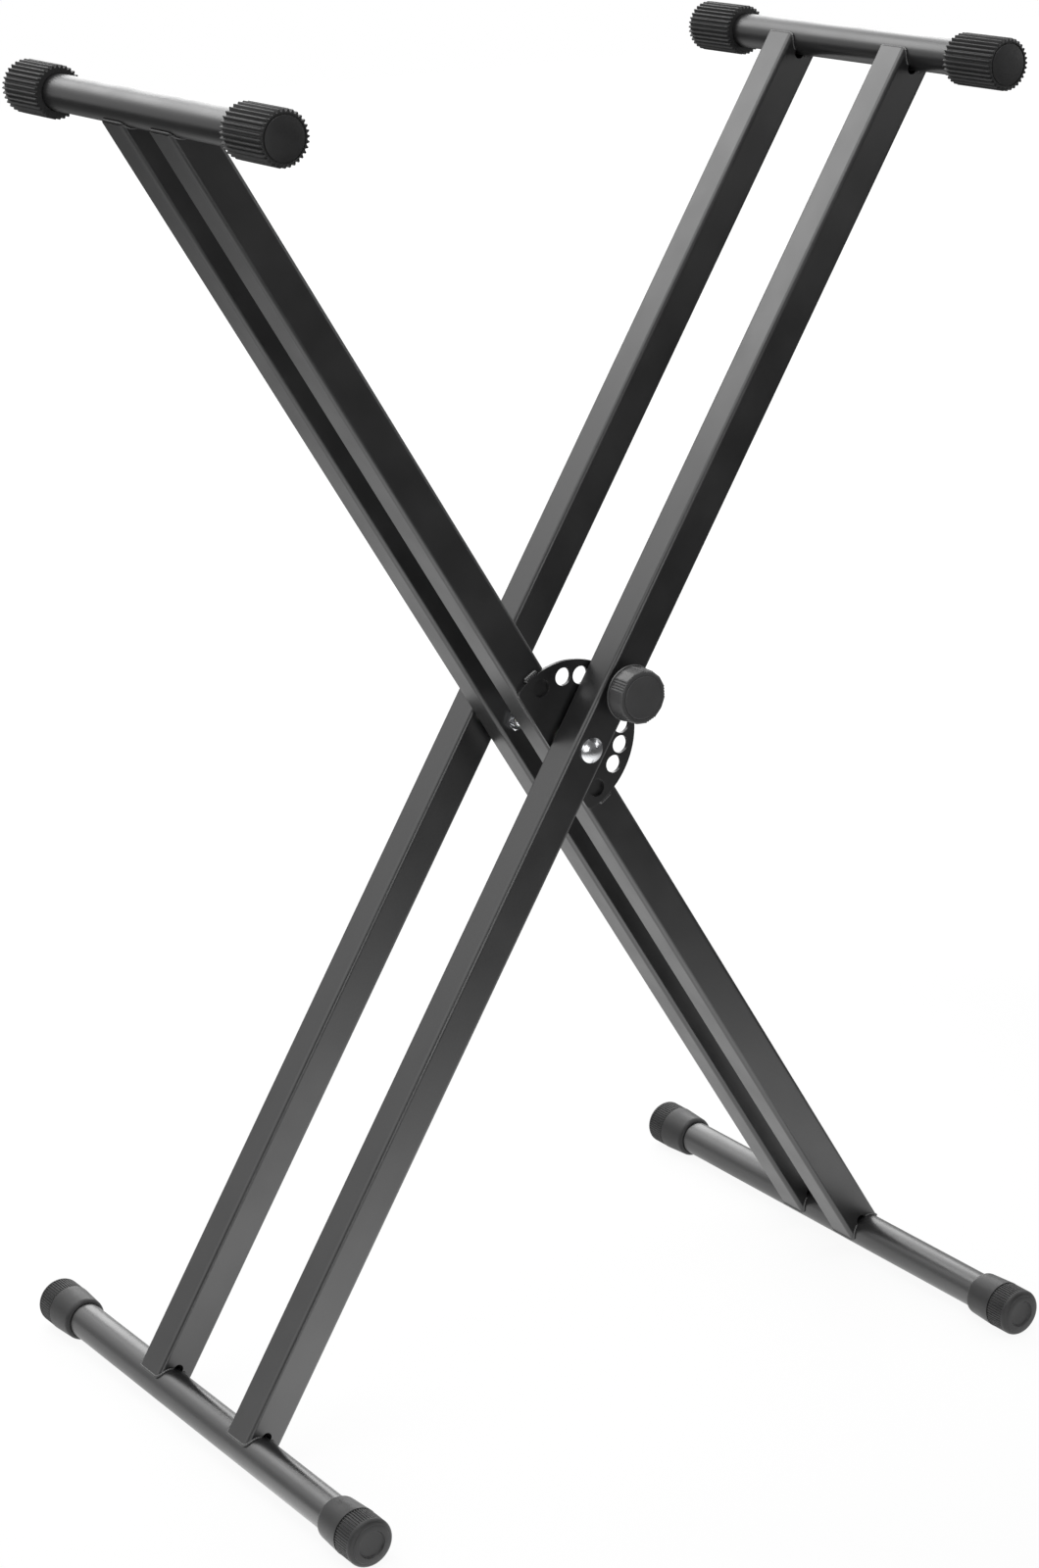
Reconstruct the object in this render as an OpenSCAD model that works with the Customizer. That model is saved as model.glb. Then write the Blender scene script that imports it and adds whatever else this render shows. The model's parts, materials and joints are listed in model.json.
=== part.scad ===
// Folding double-X keyboard stand. Millimetres, +Z up, the floor at z = 0.
// X runs across the spread of the legs, Y along the bars, and -Y is the side of the lock knob.
// The outer frame stands on the left and carries its support bar on the right; the inner frame crosses it.

/* [Stand] */
// Lock hole that the stand is set in, counted from the steepest
open_step = 2; // [0:1:7]
// Leg length from the pivot down to the foot bar's axis
leg_lower = 563; // [480:1:640]
// Leg length from the pivot up to the support bar's axis
leg_upper = 558; // [480:1:640]

/* [Legs] */
// Leg tube's size in the plane that it turns in
leg_face = 30; // [29:0.5:36]
// Leg tube's size along the bars
leg_side = 28; // [26:0.5:31]
// Outside corner radius of the leg tube
leg_corner = 3.5; // [2:0.5:5]
// Wall of the leg tube
leg_wall = 1.5; // [1:0.1:1.8]
// Middle of an outer leg, from the stand's middle plane
outer_leg_y = 65; // [62:0.5:80]
// How far a leg's end stops short of the bar's axis
leg_end_short = 4; // [2:0.5:6]
// Radius of the vent notch in a leg's end
vent_r = 4; // [2:0.5:5]

/* [Bars] */
// Diameter of the support bars
support_od = 25.4; // [22:0.1:27]
// Length of the support bar's tube
support_len = 342; // [300:1:420]
// Diameter of the foot bars
foot_od = 28; // [25:0.5:29]
// Length of the foot bar's tube
foot_len = 457; // [400:1:560]
// Wall of the round bars
bar_wall = 1.5; // [1:0.1:2.5]

/* [Support caps] */
// Radius over the ribs of a support cap
support_cap_r = 18.5; // [17.5:0.1:20]
// Length of a support cap
support_cap_len = 50; // [35:1:70]
// Rubber past the bar's end
support_cap_end = 4; // [3:0.5:6]
// Ribs round a support cap
rib_count = 32; // [24:1:36]
// Height of a rib
rib_h = 2.1; // [1:0.1:2.4]
// Width of a rib at its tip
rib_tip = 0.5; // [0.5:0.1:1.2]
// Width of a rib at its root
rib_root = 2.8; // [1.4:0.1:2.8]
// Chamfer at the ribs' front ends
rib_chamfer = 0.6; // [0.4:0.1:2.5]
// Radius of the domed disc in the cap's end
disc_r = 14.6; // [12:0.1:15]
// Rise of the domed disc
disc_rise = 0.9; // [0.3:0.1:1.5]
// Width and depth of the groove round the disc
disc_groove = 0.9; // [0.4:0.1:1]

/* [Foot caps] */
// Length of a foot cap
foot_cap_len = 47; // [45:1:60]
// Rubber past the bar's end
foot_cap_end = 4; // [3:0.5:6]
// Rubber over the bar at the collar's widest, which is what stands on the floor
foot_cap_wall = 4.5; // [3.8:0.1:6]
// Rubber over the bar behind the lip's rounding
collar_wall = 3.1; // [2.4:0.1:3.5]
// Rubber over the bar at the collar's lip
collar_lip = 0.7; // [0.5:0.1:1.2]
// Radius of the rounding behind the collar's lip
lip_round = 4.5; // [3.2:0.1:8]
// Length of the smooth collar, which widens towards the knurl
collar_len = 26.5; // [20:0.5:28]
// Length of the knurled zone
knurl_len = 16; // [8:0.5:18]
// How far the knurl's teeth lie under the collar's end
knurl_drop = 0.2; // [0.1:0.1:0.6]
// Teeth of the knurl
knurl_count = 56; // [44:4:60]
// Depth of the knurl
knurl_h = 0.9; // [0.4:0.1:1]
// Width of a knurl tooth at its root
knurl_root = 1.5; // [1:0.1:1.6]
// Width of a knurl tooth at its tip
knurl_tip = 0.5; // [0.3:0.1:0.7]
// Rounding of the outer edge
edge_round = 3.5; // [2.5:0.5:5]
// Height of the raised ring in the end face
ring_h = 0.7; // [0.4:0.1:1.2]
// Width of the raised ring in the end face
ring_w = 4.3; // [3:0.1:6]
// Depth of the dish inside the ring
dish_depth = 1.6; // [0.5:0.1:2]
// Width of the slope round the dish
dish_slope = 1.6; // [0.6:0.1:3]

/* [Lock plate] */
// Steel outside the lock holes
plate_rim = 5; // [3:0.1:12]
// Plate thickness
plate_t = 3; // [2:0.1:4]
// How far the plate reaches behind the pivot
plate_back = 14.5; // [9:0.5:14.5]
// Radius of the plate's two corners
plate_corner = 5; // [4:0.5:10]
// Radius of the circle that the lock holes lie on
hole_circle_r = 49; // [48.5:0.5:52]
// Diameter of a lock hole
hole_d = 13.4; // [12.6:0.1:14]
// Number of lock holes in the row
hole_count = 8; // [8:1:8]
// Angle between neighbouring lock holes
hole_angle = 18; // [17:0.5:19]
// Angle between the frames at the steepest hole
first_open = 28; // [22:1:32]
// Angle between the frames when the stand is folded and locked for storage
storage_open = 4.5; // [4.2:0.1:5.5]

/* [Pivot] */
// Diameter of the pivot bolts
bolt_d = 8; // [6:0.5:9]
// Diameter of the domed bolt head
bolt_head_d = 19; // [16:0.5:24]
// Height of the domed bolt head
bolt_head_h = 4.6; // [3:0.1:5.5]
// Length of the square neck under the head
bolt_neck = 3; // [2:0.5:6]
// Outside diameter of the crush sleeves
sleeve_od = 12; // [11.5:0.5:15]
// Width across the lock nut's flats
nut_af = 15; // [13.5:0.5:17]
// Height of the lock nut
nut_h = 7; // [6:0.5:10]
// Angle that the lock nuts happen to stand at
nut_turn = 12; // [0:1:59]
// Bolt past the nut
bolt_tip = 1.5; // [0.5:0.5:4]
// Diameter of the nylon washer and spacer
washer_d = 24; // [16:0.5:28]
// Thickness of the nylon washer
washer_t = 1.4; // [1:0.1:2.5]

/* [Lock] */
// Diameter of the lock pin's nose
pin_d = 12; // [10:0.1:12.4]
// Gap from the drawn pin's tip to the plate
pin_clear = 0.5; // [0.2:0.1:1]
// Travel from the drawn pin to the pushed-in pin
push_in = 3.3; // [2:0.1:3.4]
// Diameter of the pin's stem
stem_d = 6; // [5:0.5:8]
// Diameter of the shoulder that the spring pushes
shoulder_d = 16; // [14:0.5:16.5]
// Thickness of the shoulder
shoulder_t = 2.5; // [1.5:0.5:4]
// Outside diameter of the lock housing
housing_od = 20; // [18.5:0.5:22]
// Bore of the lock housing
housing_bore = 17; // [16.7:0.1:18]
// How far the housing stands out of the leg
housing_out = 9; // [5:0.5:12]
// Length of the housing's guide for the pin's nose
guide_len = 6; // [4:0.5:8]
// Thickness of the plug that closes the housing
plug_t = 3; // [2:0.5:5]
// Diameter over the corners of the knob's outline
knob_od = 40; // [36:0.1:41.4]
// Length of the knob
knob_h = 16; // [12:0.5:24]
// Radius of the flange at the knob's back
flange_r = 21; // [20.8:0.1:24]
// Thickness of the knob's flange
flange_t = 1.3; // [0.8:0.1:2]
// Chamfer round the knob's face
knob_chamfer = 1.3; // [0.5:0.1:2]
// Radius of the raised disc on the knob's face
knob_disc_r = 15.8; // [12:0.1:16.4]
// Height of the raised disc on the knob's face
knob_disc_h = 0.5; // [0.2:0.1:1]
// Fine ribs across each ribbed flat of the knob
knob_ribs = 5; // [3:1:7]
// Height of the fine ribs
knob_rib_h = 0.5; // [0.2:0.1:0.5]
// Angle that the knob happens to stand at
knob_turn = 36; // [0:1:71]
// How far the pin's stem reaches into the knob
stem_in_knob = 10; // [6:0.5:11]
// Wire of the plunger's spring
spring_wire = 1.2; // [0.8:0.1:1.4]
// Turns of the plunger's spring
spring_turns = 8; // [4:1:9]

/* [Hidden] */
$fn = 64;
// Clearances: running fit on radius, seated piece on radius, welded edge, rubbing faces and stops
running = 0.08;
seat = 0.05;
weld_gap = 0.1;
play = 0.1;
stop_gap = 0.4;
// How deep two lumps of one piece run into each other
weld = 0.5;
arc_steps = 6;
// Angles and places of the two frames
open_angle = first_open + hole_angle * open_step;
half_angle = open_angle / 2;
frame_gap = plate_t + washer_t + play;
inner_leg_y = outer_leg_y - leg_side - frame_gap;
foot_x = leg_lower * sin(half_angle);
foot_cap_r = foot_od / 2 + foot_cap_wall;
foot_z = foot_cap_r;
pivot_z = foot_z + leg_lower * cos(half_angle);
top_x = leg_upper * sin(half_angle);
top_z = pivot_z + leg_upper * cos(half_angle);
// Faces of the legs along Y, all as distances from the middle plane
outer_out = outer_leg_y + leg_side / 2;
outer_in = outer_leg_y - leg_side / 2;
inner_out = inner_leg_y + leg_side / 2;
inner_in = inner_leg_y - leg_side / 2;
plate_out = inner_out + plate_t;
// Lock, as distances from the middle plane towards the front
pin_tip = plate_out + pin_clear;
shoulder_at = outer_in + guide_len + push_in + stop_gap;
housing_end = outer_out + housing_out;
knob_back = housing_end + push_in + stop_gap;
spring_from = shoulder_at + shoulder_t + play;
spring_to = housing_end - plug_t - play;
spring_r = (stem_d / 2 + housing_bore / 2) / 2;
knob_repeats = 5;
ribbed_flat_angle = 30;
plate_r = hole_circle_r + hole_d / 2 + plate_rim;

// Points of an arc about (cx, cy) from angle a0 to a1
function arc(cx, cy, r, a0, a1, n = arc_steps) =
    [for (i = [0 : n]) let (a = a0 + (a1 - a0) * i / n) [cx + r * cos(a), cy + r * sin(a)]];

// Moves children into a frame's own axes: Z up its legs, X across them, the pivot at the origin.
// lean is 1 for the outer frame and -1 for the inner frame.
module in_frame(lean) {
    translate([0, 0, pivot_z]) rotate([0, lean * half_angle, 0]) children();
}

// Turns a shape drawn up Z so that it runs along Y, to the front (-1) or to the rear (1)
module along_y(side) {
    rotate([side < 0 ? 90 : -90, 0, 0]) children();
}

// A round bar, hole or ring along Y, between two distances from the middle plane on one side
module y_cylinder(side, from, to, r) {
    along_y(side) translate([0, 0, from]) cylinder(h = to - from, r = r);
}

// Outline of a rectangular tube's skin with rounded corners
module rounded_rect(w, h, r) {
    polygon(concat(
        arc(w / 2 - r, h / 2 - r, r, 0, 90),
        arc(-w / 2 + r, h / 2 - r, r, 90, 180),
        arc(-w / 2 + r, -h / 2 + r, r, 180, 270),
        arc(w / 2 - r, -h / 2 + r, r, 270, 360)));
}

// One leg: a rectangular tube, saddled over both bars, with a vent notch at each end
module leg(y) {
    bottom = -leg_lower + leg_end_short;
    length = leg_lower + leg_upper - 2 * leg_end_short;
    difference() {
        translate([0, y, bottom]) linear_extrude(height = length) rounded_rect(leg_face, leg_side, leg_corner);
        translate([0, y, bottom - 1]) linear_extrude(height = length + 2)
            rounded_rect(leg_face - 2 * leg_wall, leg_side - 2 * leg_wall, leg_corner - leg_wall / 1.5);
        leg_end_cut(-leg_lower, 1, foot_od, y);
        leg_end_cut(leg_upper, -1, support_od, y);
    }
}

// Saddle and vent notch of a leg's end; inward is 1 where the leg lies above the bar
module leg_end_cut(z, inward, bar_d, y) {
    translate([0, y, z]) {
        rotate([90, 0, 0]) cylinder(h = leg_side + 2, r = bar_d / 2 + weld_gap, center = true);
        translate([0, 0, inward * bar_d / 2]) rotate([90, 0, 0])
            cylinder(h = leg_side + 2, r = vent_r, center = true);
    }
}

// Square shank of the pivot bolt, or the square hole for it
module square_neck(side, from, to, w) {
    along_y(side) translate([-w / 2, -w / 2, from]) cube([w, w, to - from]);
}

module outer_leg(side) {
    color("dimgray") difference() {
        in_frame(1) leg(side * outer_leg_y);
        in_frame(1) {
            y_cylinder(side, outer_in - 1, outer_leg_y, sleeve_od / 2 + seat);
            square_neck(side, outer_leg_y, outer_out + 1, bolt_d + 2 * seat);
            if (side < 0) translate([0, 0, hole_circle_r])
                y_cylinder(side, outer_in - 1, outer_out + 1, housing_od / 2 + seat);
        }
    }
}

module inner_leg(side) {
    color("dimgray") difference() {
        in_frame(-1) leg(side * inner_leg_y);
        in_frame(-1) y_cylinder(side, inner_in - 1, inner_out + 1, sleeve_od / 2 + seat);
    }
}

// A round bar with open ends, about the axis at (x, z)
module bar(x, z, od, length) {
    color("dimgray") translate([x, 0, z]) rotate([90, 0, 0]) difference() {
        cylinder(h = length, r = od / 2, center = true);
        cylinder(h = length + 2, r = od / 2 - bar_wall, center = true);
    }
}

// Outline of a round piece with ribs: root is the rib's width where it starts, tip its width at the top
function ribbed(n, r_valley, r_tip, root, tip) = [
    for (i = [0 : n - 1], k = [0 : 3])
        let (r = (k == 0 || k == 3) ? r_valley : r_tip,
             w = (k == 0 || k == 3) ? root : tip,
             a = -90 + 360 * i / n + (k < 2 ? -1 : 1) * asin(w / 2 / r))
        [r * cos(a), r * sin(a)]
];

// Rubber cap of a support bar: axial ribs, a chamfered front and a domed disc in a groove
module support_cap() {
    body_len = support_cap_len - disc_rise;
    valley = support_cap_r - rib_h;
    dome_r = (disc_r * disc_r + disc_rise * disc_rise) / (2 * disc_rise);
    dome_half = asin(disc_r / dome_r);
    difference() {
        intersection() {
            linear_extrude(height = body_len)
                polygon(ribbed(rib_count, valley, support_cap_r, rib_root, rib_tip));
            rotate_extrude() polygon([
                [0, 0], [support_cap_r + 1, 0], [support_cap_r + 1, body_len - rib_chamfer - 1],
                [support_cap_r - rib_chamfer, body_len], [0, body_len]]);
        }
        translate([0, 0, -1]) cylinder(h = support_cap_len - support_cap_end + 1, r = support_od / 2 + seat);
        translate([0, 0, body_len - disc_groove]) difference() {
            cylinder(h = disc_groove + 1, r = disc_r + disc_groove);
            translate([0, 0, -1]) cylinder(h = disc_groove + 3, r = disc_r);
        }
    }
    rotate_extrude() polygon(concat(
        [[0, body_len - weld], [disc_r, body_len - weld]],
        arc(0, support_cap_len - dome_r, dome_r, 90 - dome_half, 90)));
}

module support_cap_at(x, side) {
    color("darkslategray") translate([x, 0, top_z]) along_y(side)
        translate([0, 0, support_len / 2 - support_cap_len + support_cap_end]) support_cap();
}

// Rubber foot of a foot bar: a smooth collar that widens, a knurled zone, and an end face with a
// raised ring round a dish
module foot_cap() {
    bar_r = foot_od / 2;
    lip_a = acos(1 - (collar_wall - collar_lip) / lip_round);
    knurl_r = foot_cap_r - knurl_drop;
    knurl_to = collar_len + knurl_len;
    shoulder_z = foot_cap_len - ring_h;
    ring_r = knurl_r - edge_round;
    dish_r = ring_r - ring_w;
    difference() {
        union() {
            rotate_extrude() polygon(concat(
                [[0, 0]],
                arc(bar_r + collar_wall - lip_round, lip_round * sin(lip_a), lip_round, -lip_a, 0),
                [[foot_cap_r, collar_len], [0, collar_len]]));
            translate([0, 0, collar_len - weld])
                linear_extrude(height = knurl_len + weld)
                    polygon(ribbed(knurl_count, knurl_r - knurl_h, knurl_r, knurl_root, knurl_tip));
            rotate_extrude() polygon(concat(
                [[0, knurl_to - weld], [knurl_r - 0.05, knurl_to - weld], [knurl_r - 0.05, knurl_to]],
                arc(ring_r, shoulder_z - edge_round, edge_round, 0, 90),
                [[ring_r - 0.4, foot_cap_len], [dish_r, foot_cap_len],
                 [dish_r - dish_slope, foot_cap_len - dish_depth], [0, foot_cap_len - dish_depth]]));
        }
        translate([0, 0, -1]) cylinder(h = foot_cap_len - foot_cap_end + 1, r = bar_r + seat);
    }
}

module foot_cap_at(x, side) {
    color("darkslategray") translate([x, 0, foot_z]) along_y(side)
        translate([0, 0, foot_len / 2 - foot_cap_len + foot_cap_end]) foot_cap();
}

// Outline of the lock plate, X across the inner leg and Y up it: a disc cut off behind the pivot, with
// two rounded corners
function plate_outline() =
    let (x = plate_corner - plate_back,
         a = acos(x / (plate_r - plate_corner)),
         y = (plate_r - plate_corner) * sin(a))
    concat(
        arc(x, -y, plate_corner, 180, 360 - a),
        arc(0, 0, plate_r, -a, a, 8 * arc_steps),
        arc(x, y, plate_corner, a, 180));

// A hole through the plate where the lock pin stands when the frames are this far open
module plate_hole(open) {
    translate([hole_circle_r * sin(open), 0, hole_circle_r * cos(open)])
        y_cylinder(-1, inner_out - 1, plate_out + 1, hole_d / 2);
}

// Quadrant plate on the inner front leg: the row of lock holes, the storage hole, and a plain hole at the
// other end on the leg's middle
module lock_plate() {
    color("dimgray") in_frame(-1) difference() {
        along_y(-1) translate([0, 0, inner_out]) linear_extrude(height = plate_t) polygon(plate_outline());
        for (i = [0 : hole_count - 1]) plate_hole(first_open + hole_angle * i);
        for (open = [storage_open, 180]) plate_hole(open);
        y_cylinder(-1, inner_out - 1, plate_out + 1, sleeve_od / 2 + seat);
    }
}

// A ring along Y about the pivot
module pivot_ring(side, from, to, r_out, r_in) {
    translate([0, 0, pivot_z]) difference() {
        y_cylinder(side, from, to, r_out);
        y_cylinder(side, from - 1, to + 1, r_in);
    }
}

// Cup-headed bolt with a square neck; its head lies on the outer leg and its nut inside the inner leg
module pivot_bolt(side) {
    rim = 1.2;
    dome = bolt_head_h - rim;
    head_r = bolt_head_d / 2;
    dome_r = (head_r * head_r + dome * dome) / (2 * dome);
    dome_half = asin(head_r / dome_r);
    end = inner_in - play - nut_h - bolt_tip;
    color("silver") {
        translate([0, 0, pivot_z]) {
            along_y(side) rotate_extrude() polygon(concat(
                [[0, end], [bolt_d / 2 - 0.8, end], [bolt_d / 2, end + 0.8], [bolt_d / 2, outer_out],
                 [head_r, outer_out], [head_r, outer_out + rim]],
                arc(0, outer_out + bolt_head_h - dome_r, dome_r, 90 - dome_half, 90)));
        }
        in_frame(1) square_neck(side, outer_out - bolt_neck, outer_out + 0.2, bolt_d);
    }
}

// Lock nut: a chamfered hexagon with a round collar
module pivot_nut(side) {
    face = inner_in - play;
    hex_h = nut_h * 0.6;
    corner_r = nut_af / 2 / cos(30);
    color("silver") translate([0, 0, pivot_z]) along_y(side) difference() {
        union() {
            translate([0, 0, face - hex_h]) intersection() {
                rotate(-side * nut_turn) cylinder(h = hex_h, r = corner_r, $fn = 6);
                rotate_extrude() polygon([
                    [0, 0], [nut_af / 2, 0], [corner_r + 0.2, 0.7], [corner_r + 0.2, hex_h - 0.7],
                    [nut_af / 2, hex_h], [0, hex_h]]);
            }
            translate([0, 0, face - nut_h]) cylinder(h = nut_h - 1, r = nut_af / 2 - 1.6);
        }
        translate([0, 0, face - nut_h - 1]) cylinder(h = nut_h + 2, r = bolt_d / 2 + seat);
    }
}

module outer_pivot_sleeve(side) {
    color("lightgray")
        pivot_ring(side, outer_in, outer_out - bolt_neck - play, sleeve_od / 2, bolt_d / 2 + running);
}

module inner_pivot_sleeve(side) {
    color("lightgray")
        pivot_ring(side, inner_in, side < 0 ? plate_out : inner_out, sleeve_od / 2, bolt_d / 2 + running);
}

module pivot_washer_front() {
    color("ivory") pivot_ring(-1, outer_in - washer_t, outer_in, washer_d / 2, bolt_d / 2 + running);
}

module pivot_spacer_rear() {
    color("ivory") pivot_ring(1, inner_out + play, outer_in, washer_d / 2, bolt_d / 2 + running);
}

// Moves children to the lock's axis, up the outer front leg, drawn up Z towards the front
module on_lock_axis() {
    in_frame(1) translate([0, 0, hole_circle_r]) along_y(-1) children();
}

module lock_housing() {
    color("gray") on_lock_axis() difference() {
        translate([0, 0, outer_in]) cylinder(h = housing_end - outer_in, r = housing_od / 2);
        translate([0, 0, outer_in - 1]) cylinder(h = guide_len + 2, r = pin_d / 2 + running);
        translate([0, 0, outer_in + guide_len])
            cylinder(h = housing_end - outer_in - guide_len + 1, r = housing_bore / 2);
    }
}

module lock_housing_plug() {
    color("gray") on_lock_axis() difference() {
        translate([0, 0, housing_end - plug_t]) cylinder(h = plug_t, r = housing_bore / 2 - seat);
        translate([0, 0, housing_end - plug_t - 1]) cylinder(h = plug_t + 2, r = stem_d / 2 + running);
    }
}

// Plunger: a chamfered nose, the shoulder that the spring pushes, and the stem that the knob holds
module lock_pin() {
    nose_r = pin_d / 2;
    stem_end = knob_back + stem_in_knob - seat;
    color("silver") on_lock_axis() rotate_extrude() polygon([
        [0, pin_tip], [nose_r - 1, pin_tip], [nose_r, pin_tip + 1], [nose_r, shoulder_at],
        [shoulder_d / 2, shoulder_at], [shoulder_d / 2, shoulder_at + shoulder_t],
        [stem_d / 2, shoulder_at + shoulder_t], [stem_d / 2, stem_end], [0, stem_end]]);
}

// Compression spring round the stem, swept along a helix
module lock_spring() {
    sides = 6;
    per_turn = 10;
    rings = spring_turns * per_turn;
    rise = spring_to - spring_from - spring_wire;
    wire_r = spring_wire / 2;
    points = [for (i = [0 : rings], k = [0 : sides - 1])
        let (a = 360 * i / per_turn, b = 360 * k / sides, r = spring_r + wire_r * cos(b))
        [r * cos(a), r * sin(a), spring_from + wire_r + rise * i / rings + wire_r * sin(b)]];
    skin = [for (i = [0 : rings - 1], k = [0 : sides - 1], t = [0, 1])
        let (p = i * sides + k, q = i * sides + (k + 1) % sides)
        t == 0 ? [p, p + sides, q + sides] : [p, q + sides, q]];
    ends = concat(
        [for (k = [1 : sides - 2]) [0, k, k + 1]],
        [for (k = [1 : sides - 2]) [rings * sides, rings * sides + k + 1, rings * sides + k]]);
    color("silver") on_lock_axis() polyhedron(points = points, faces = concat(skin, ends));
}

// Corners of the knob's outline: a ribbed flat and two plain ones, five times round
function knob_corners() = [
    let (half = ribbed_flat_angle / 2)
    for (i = [0 : knob_repeats - 1], off = [-half, half, 180 / knob_repeats])
        let (a = knob_turn + 360 / knob_repeats * i + off) [knob_od / 2 * cos(a), knob_od / 2 * sin(a)]];

// Moulded knob: a flange behind, flats of which every third is ribbed, and a raised disc in front
module lock_knob() {
    corner_r = knob_od / 2;
    body_h = knob_h - knob_disc_h;
    color("darkslategray") on_lock_axis() translate([0, 0, knob_back]) difference() {
        union() {
            cylinder(h = flange_t, r = flange_r);
            intersection() {
                linear_extrude(height = body_h) polygon(knob_corners());
                rotate_extrude() polygon([
                    [0, 0], [corner_r + 1, 0], [corner_r + 1, body_h - knob_chamfer - 1],
                    [corner_r - knob_chamfer, body_h], [0, body_h]]);
            }
            for (i = [0 : knob_repeats - 1]) rotate(knob_turn + 360 / knob_repeats * i)
                knob_flat_ribs(body_h - knob_chamfer - weld);
            translate([0, 0, body_h - weld]) cylinder(h = knob_disc_h + weld, r = knob_disc_r);
        }
        translate([0, 0, -1]) cylinder(h = stem_in_knob + 1, r = stem_d / 2 + seat);
    }
}

// Fine ribs across one flat of the knob
module knob_flat_ribs(h) {
    flat_x = knob_od / 2 * cos(ribbed_flat_angle / 2);
    rib_w = knob_od * sin(ribbed_flat_angle / 2) / (2 * knob_ribs);
    for (i = [0 : knob_ribs - 1])
        translate([flat_x - weld, (2 * i - knob_ribs + 1) * rib_w - rib_w / 2, 0])
            cube([weld + knob_rib_h, rib_w, h]);
}

outer_leg(-1);  // outer_leg_front
outer_leg(1);  // outer_leg_rear
bar(top_x, top_z, support_od, support_len);  // outer_support_bar
bar(-foot_x, foot_z, foot_od, foot_len);  // outer_foot_bar
support_cap_at(top_x, -1);  // outer_support_cap_front
support_cap_at(top_x, 1);  // outer_support_cap_rear
foot_cap_at(-foot_x, -1);  // outer_foot_cap_front
foot_cap_at(-foot_x, 1);  // outer_foot_cap_rear
inner_leg(-1);  // inner_leg_front
inner_leg(1);  // inner_leg_rear
bar(-top_x, top_z, support_od, support_len);  // inner_support_bar
bar(foot_x, foot_z, foot_od, foot_len);  // inner_foot_bar
support_cap_at(-top_x, -1);  // inner_support_cap_front
support_cap_at(-top_x, 1);  // inner_support_cap_rear
foot_cap_at(foot_x, -1);  // inner_foot_cap_front
foot_cap_at(foot_x, 1);  // inner_foot_cap_rear
lock_plate();
pivot_bolt(-1);  // pivot_bolt_front
pivot_bolt(1);  // pivot_bolt_rear
pivot_nut(-1);  // pivot_nut_front
pivot_nut(1);  // pivot_nut_rear
pivot_washer_front();
pivot_spacer_rear();
outer_pivot_sleeve(-1);  // outer_pivot_sleeve_front
outer_pivot_sleeve(1);  // outer_pivot_sleeve_rear
inner_pivot_sleeve(-1);  // inner_pivot_sleeve_front
inner_pivot_sleeve(1);  // inner_pivot_sleeve_rear
lock_housing();
lock_housing_plug();
lock_pin();
lock_spring();
lock_knob();
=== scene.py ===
"""Looks of a folding double-X keyboard stand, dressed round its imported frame.

Each CAD node gets its finish here, or gives way to a fuller form of the same size: legs with smooth corners,
rubber caps and feet with rounded ribs and teeth, a lock plate with soft edges, the moulded knob and the
plunger's spring. Weld beads and the nylon rings of the lock nuts are added.

Lengths are in metres unless a name says otherwise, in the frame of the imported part: X across the spread of
the legs, Y along the bars with the knob on the -Y side, and Z up from the floor.
"""

import json
import logging
import math
from dataclasses import dataclass, field
from enum import Enum
from typing import Callable, ClassVar, Iterable, Optional, Sequence

import bmesh
import bpy
from mathutils import Matrix, Vector


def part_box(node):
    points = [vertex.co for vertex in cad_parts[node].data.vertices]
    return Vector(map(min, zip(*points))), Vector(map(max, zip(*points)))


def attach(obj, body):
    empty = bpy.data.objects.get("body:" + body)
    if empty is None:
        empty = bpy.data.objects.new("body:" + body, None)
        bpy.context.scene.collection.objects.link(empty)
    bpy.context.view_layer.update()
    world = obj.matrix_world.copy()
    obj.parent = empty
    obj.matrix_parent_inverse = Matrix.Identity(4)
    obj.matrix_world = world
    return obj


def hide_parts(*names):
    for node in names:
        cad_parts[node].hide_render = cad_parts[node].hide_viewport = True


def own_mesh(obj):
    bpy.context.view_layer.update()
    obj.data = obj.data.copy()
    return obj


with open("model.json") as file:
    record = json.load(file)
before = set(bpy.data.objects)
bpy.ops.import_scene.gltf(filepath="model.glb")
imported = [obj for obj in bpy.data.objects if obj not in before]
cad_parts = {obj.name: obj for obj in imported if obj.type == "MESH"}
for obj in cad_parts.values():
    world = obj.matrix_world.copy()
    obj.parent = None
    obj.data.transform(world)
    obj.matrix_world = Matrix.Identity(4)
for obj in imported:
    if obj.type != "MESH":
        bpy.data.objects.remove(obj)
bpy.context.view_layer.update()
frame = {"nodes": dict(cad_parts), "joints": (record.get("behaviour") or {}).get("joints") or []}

LOG = logging.getLogger("keyboard_stand")
MM = 0.001

Pair = tuple[float, float]
Triple = tuple[float, float, float]
Profile = Callable[[float], float]
Mesh = bmesh.types.BMesh
Socket = bpy.types.NodeSocket


class Slot(Enum):
    """The record's material slots."""

    PAINT = "frame_paint"
    RUBBER = "cap_rubber"
    ZINC = "bright_zinc"
    STEEL = "plain_steel"
    NYLON = "nylon"
    PLASTIC = "knob_plastic"


class Body(Enum):
    """The bodies that the joints move."""

    OUTER = "outer_frame"
    INNER = "inner_frame"
    PLUNGER = "lock_plunger"


class Side(Enum):
    """The two sides of the stand, as the sign of Y."""

    FRONT = -1
    REAR = 1

    @property
    def word(self) -> str:
        """The side's name as the CAD nodes write it."""
        return self.name.lower()


# Finishes


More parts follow.
